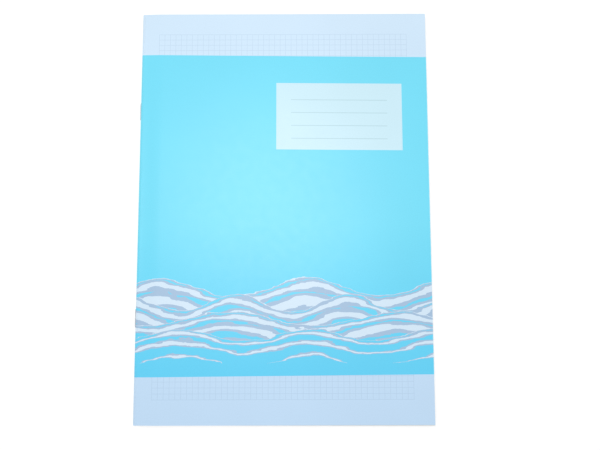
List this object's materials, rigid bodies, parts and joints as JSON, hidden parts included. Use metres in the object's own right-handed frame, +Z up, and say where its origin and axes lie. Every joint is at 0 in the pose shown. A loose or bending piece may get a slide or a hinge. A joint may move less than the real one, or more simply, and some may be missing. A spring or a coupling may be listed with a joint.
{
  "type": "stapled exercise book",
  "caption": "Closed A4 exercise book: squared paper sheets folded and nested in a card cover, held by wire staples through the fold; cover and leaves turn about the spine.",
  "frame": {"origin": "on the surface that the closed book lies on, under the middle of its outline", "axes": "+X from the spine to the fore edge, +Y from tail to head, +Z up out of the front cover"},
  "size_m": [0.2106, 0.297, 0.0044],
  "materials": {
    "cover_card": "coated card, satin offset print",
    "page_paper": "uncoated writing paper, squared",
    "staple_wire": "drawn, galvanised wire"
  },
  "bodies": {
    "back_cover": {"back_cover": "cover_card"},
    "stapled_fold": {"cover_spine": "cover_card", "staple_head": "staple_wire", "staple_tail": "staple_wire", "sheet_fold_01": "page_paper", "sheet_fold_02": "page_paper", "sheet_fold_03": "page_paper", "sheet_fold_04": "page_paper", "sheet_fold_05": "page_paper", "sheet_fold_06": "page_paper", "sheet_fold_07": "page_paper", "sheet_fold_08": "page_paper", "sheet_fold_09": "page_paper", "sheet_fold_10": "page_paper", "sheet_fold_11": "page_paper", "sheet_fold_12": "page_paper"},
    "front_leaf_01": {"front_leaf_01": "page_paper"},
    "front_leaf_02": {"front_leaf_02": "page_paper"},
    "front_leaf_03": {"front_leaf_03": "page_paper"},
    "front_leaf_04": {"front_leaf_04": "page_paper"},
    "front_leaf_05": {"front_leaf_05": "page_paper"},
    "front_leaf_06": {"front_leaf_06": "page_paper"},
    "front_leaf_07": {"front_leaf_07": "page_paper"},
    "front_leaf_08": {"front_leaf_08": "page_paper"},
    "front_leaf_09": {"front_leaf_09": "page_paper"},
    "front_leaf_10": {"front_leaf_10": "page_paper"},
    "front_leaf_11": {"front_leaf_11": "page_paper"},
    "front_leaf_12": {"front_leaf_12": "page_paper"},
    "back_leaf_01": {"back_leaf_01": "page_paper"},
    "back_leaf_02": {"back_leaf_02": "page_paper"},
    "back_leaf_03": {"back_leaf_03": "page_paper"},
    "back_leaf_04": {"back_leaf_04": "page_paper"},
    "back_leaf_05": {"back_leaf_05": "page_paper"},
    "back_leaf_06": {"back_leaf_06": "page_paper"},
    "back_leaf_07": {"back_leaf_07": "page_paper"},
    "back_leaf_08": {"back_leaf_08": "page_paper"},
    "back_leaf_09": {"back_leaf_09": "page_paper"},
    "back_leaf_10": {"back_leaf_10": "page_paper"},
    "back_leaf_11": {"back_leaf_11": "page_paper"},
    "back_leaf_12": {"back_leaf_12": "page_paper"},
    "front_cover": {"front_cover": "cover_card"}
  },
  "joints": [
    {"name": "front_leaf_01_turn", "type": "hinge", "parent": "back_cover", "child": "front_leaf_01", "pos_m": [-0.10276, 0, 0.0022], "axis": [0, -1, 0], "range_deg": [0, 179.9], "deforming": ["cover_spine", "sheet_fold_01", "sheet_fold_02", "sheet_fold_03", "sheet_fold_04", "sheet_fold_05", "sheet_fold_06", "sheet_fold_07", "sheet_fold_08", "sheet_fold_09", "sheet_fold_10", "sheet_fold_11", "sheet_fold_12"]},
    {"name": "front_leaf_02_turn", "type": "hinge", "parent": "back_cover", "child": "front_leaf_02", "pos_m": [-0.10276, 0, 0.0022], "axis": [0, -1, 0], "range_deg": [0, 179.84]},
    {"name": "front_leaf_03_turn", "type": "hinge", "parent": "back_cover", "child": "front_leaf_03", "pos_m": [-0.10276, 0, 0.0022], "axis": [0, -1, 0], "range_deg": [0, 179.78]},
    {"name": "front_leaf_04_turn", "type": "hinge", "parent": "back_cover", "child": "front_leaf_04", "pos_m": [-0.10276, 0, 0.0022], "axis": [0, -1, 0], "range_deg": [0, 179.72]},
    {"name": "front_leaf_05_turn", "type": "hinge", "parent": "back_cover", "child": "front_leaf_05", "pos_m": [-0.10276, 0, 0.0022], "axis": [0, -1, 0], "range_deg": [0, 179.66]},
    {"name": "front_leaf_06_turn", "type": "hinge", "parent": "back_cover", "child": "front_leaf_06", "pos_m": [-0.10276, 0, 0.0022], "axis": [0, -1, 0], "range_deg": [0, 179.6]},
    {"name": "front_leaf_07_turn", "type": "hinge", "parent": "back_cover", "child": "front_leaf_07", "pos_m": [-0.10276, 0, 0.0022], "axis": [0, -1, 0], "range_deg": [0, 179.54]},
    {"name": "front_leaf_08_turn", "type": "hinge", "parent": "back_cover", "child": "front_leaf_08", "pos_m": [-0.10276, 0, 0.0022], "axis": [0, -1, 0], "range_deg": [0, 179.48]},
    {"name": "front_leaf_09_turn", "type": "hinge", "parent": "back_cover", "child": "front_leaf_09", "pos_m": [-0.10276, 0, 0.0022], "axis": [0, -1, 0], "range_deg": [0, 179.42]},
    {"name": "front_leaf_10_turn", "type": "hinge", "parent": "back_cover", "child": "front_leaf_10", "pos_m": [-0.10276, 0, 0.0022], "axis": [0, -1, 0], "range_deg": [0, 179.36]},
    {"name": "front_leaf_11_turn", "type": "hinge", "parent": "back_cover", "child": "front_leaf_11", "pos_m": [-0.10276, 0, 0.0022], "axis": [0, -1, 0], "range_deg": [0, 179.3]},
    {"name": "front_leaf_12_turn", "type": "hinge", "parent": "back_cover", "child": "front_leaf_12", "pos_m": [-0.10276, 0, 0.0022], "axis": [0, -1, 0], "range_deg": [0, 179.24]},
    {"name": "back_leaf_01_lift", "type": "hinge", "parent": "back_cover", "child": "back_leaf_01", "pos_m": [-0.10276, 0, 0.0022], "axis": [0, -1, 0], "range_deg": [0, 0.061]},
    {"name": "back_leaf_02_lift", "type": "hinge", "parent": "back_cover", "child": "back_leaf_02", "pos_m": [-0.10276, 0, 0.0022], "axis": [0, -1, 0], "range_deg": [0, 0.121]},
    {"name": "back_leaf_03_lift", "type": "hinge", "parent": "back_cover", "child": "back_leaf_03", "pos_m": [-0.10276, 0, 0.0022], "axis": [0, -1, 0], "range_deg": [0, 0.181]},
    {"name": "back_leaf_04_lift", "type": "hinge", "parent": "back_cover", "child": "back_leaf_04", "pos_m": [-0.10276, 0, 0.0022], "axis": [0, -1, 0], "range_deg": [0, 0.241]},
    {"name": "back_leaf_05_lift", "type": "hinge", "parent": "back_cover", "child": "back_leaf_05", "pos_m": [-0.10276, 0, 0.0022], "axis": [0, -1, 0], "range_deg": [0, 0.301]},
    {"name": "back_leaf_06_lift", "type": "hinge", "parent": "back_cover", "child": "back_leaf_06", "pos_m": [-0.10276, 0, 0.0022], "axis": [0, -1, 0], "range_deg": [0, 0.361]},
    {"name": "back_leaf_07_lift", "type": "hinge", "parent": "back_cover", "child": "back_leaf_07", "pos_m": [-0.10276, 0, 0.0022], "axis": [0, -1, 0], "range_deg": [0, 0.421]},
    {"name": "back_leaf_08_lift", "type": "hinge", "parent": "back_cover", "child": "back_leaf_08", "pos_m": [-0.10276, 0, 0.0022], "axis": [0, -1, 0], "range_deg": [0, 0.481]},
    {"name": "back_leaf_09_lift", "type": "hinge", "parent": "back_cover", "child": "back_leaf_09", "pos_m": [-0.10276, 0, 0.0022], "axis": [0, -1, 0], "range_deg": [0, 0.541]},
    {"name": "back_leaf_10_lift", "type": "hinge", "parent": "back_cover", "child": "back_leaf_10", "pos_m": [-0.10276, 0, 0.0022], "axis": [0, -1, 0], "range_deg": [0, 0.601]},
    {"name": "back_leaf_11_lift", "type": "hinge", "parent": "back_cover", "child": "back_leaf_11", "pos_m": [-0.10276, 0, 0.0022], "axis": [0, -1, 0], "range_deg": [0, 0.661]},
    {"name": "back_leaf_12_lift", "type": "hinge", "parent": "back_cover", "child": "back_leaf_12", "pos_m": [-0.10276, 0, 0.0022], "axis": [0, -1, 0], "range_deg": [0, 0.721]},
    {"name": "stapled_fold_roll", "type": "hinge", "parent": "back_cover", "child": "stapled_fold", "pos_m": [-0.10276, 0, 0.0022], "axis": [0, -1, 0], "range_deg": [0, 89.95]},
    {"name": "front_cover_hinge", "type": "hinge", "parent": "front_leaf_01", "child": "front_cover", "pos_m": [-0.10276, 0, 0.00448], "axis": [0, -1, 0], "range_deg": [0, 179.9]}
  ],
  "couplings": [
    {"joint": "front_leaf_02_turn", "follows": "front_leaf_01_turn", "ratio": 0.99967},
    {"joint": "front_leaf_03_turn", "follows": "front_leaf_01_turn", "ratio": 0.99933},
    {"joint": "front_leaf_04_turn", "follows": "front_leaf_01_turn", "ratio": 0.999},
    {"joint": "front_leaf_05_turn", "follows": "front_leaf_01_turn", "ratio": 0.99867},
    {"joint": "front_leaf_06_turn", "follows": "front_leaf_01_turn", "ratio": 0.99833},
    {"joint": "front_leaf_07_turn", "follows": "front_leaf_01_turn", "ratio": 0.998},
    {"joint": "front_leaf_08_turn", "follows": "front_leaf_01_turn", "ratio": 0.99767},
    {"joint": "front_leaf_09_turn", "follows": "front_leaf_01_turn", "ratio": 0.99733},
    {"joint": "front_leaf_10_turn", "follows": "front_leaf_01_turn", "ratio": 0.997},
    {"joint": "front_leaf_11_turn", "follows": "front_leaf_01_turn", "ratio": 0.99667},
    {"joint": "front_leaf_12_turn", "follows": "front_leaf_01_turn", "ratio": 0.99633},
    {"joint": "back_leaf_01_lift", "follows": "front_leaf_01_turn", "ratio": 0.000334},
    {"joint": "back_leaf_02_lift", "follows": "front_leaf_01_turn", "ratio": 0.000667},
    {"joint": "back_leaf_03_lift", "follows": "front_leaf_01_turn", "ratio": 0.001001},
    {"joint": "back_leaf_04_lift", "follows": "front_leaf_01_turn", "ratio": 0.001334},
    {"joint": "back_leaf_05_lift", "follows": "front_leaf_01_turn", "ratio": 0.001668},
    {"joint": "back_leaf_06_lift", "follows": "front_leaf_01_turn", "ratio": 0.002001},
    {"joint": "back_leaf_07_lift", "follows": "front_leaf_01_turn", "ratio": 0.002335},
    {"joint": "back_leaf_08_lift", "follows": "front_leaf_01_turn", "ratio": 0.002668},
    {"joint": "back_leaf_09_lift", "follows": "front_leaf_01_turn", "ratio": 0.003002},
    {"joint": "back_leaf_10_lift", "follows": "front_leaf_01_turn", "ratio": 0.003335},
    {"joint": "back_leaf_11_lift", "follows": "front_leaf_01_turn", "ratio": 0.003669},
    {"joint": "back_leaf_12_lift", "follows": "front_leaf_01_turn", "ratio": 0.004002},
    {"joint": "stapled_fold_roll", "follows": "front_leaf_01_turn", "ratio": 0.5}
  ]
}
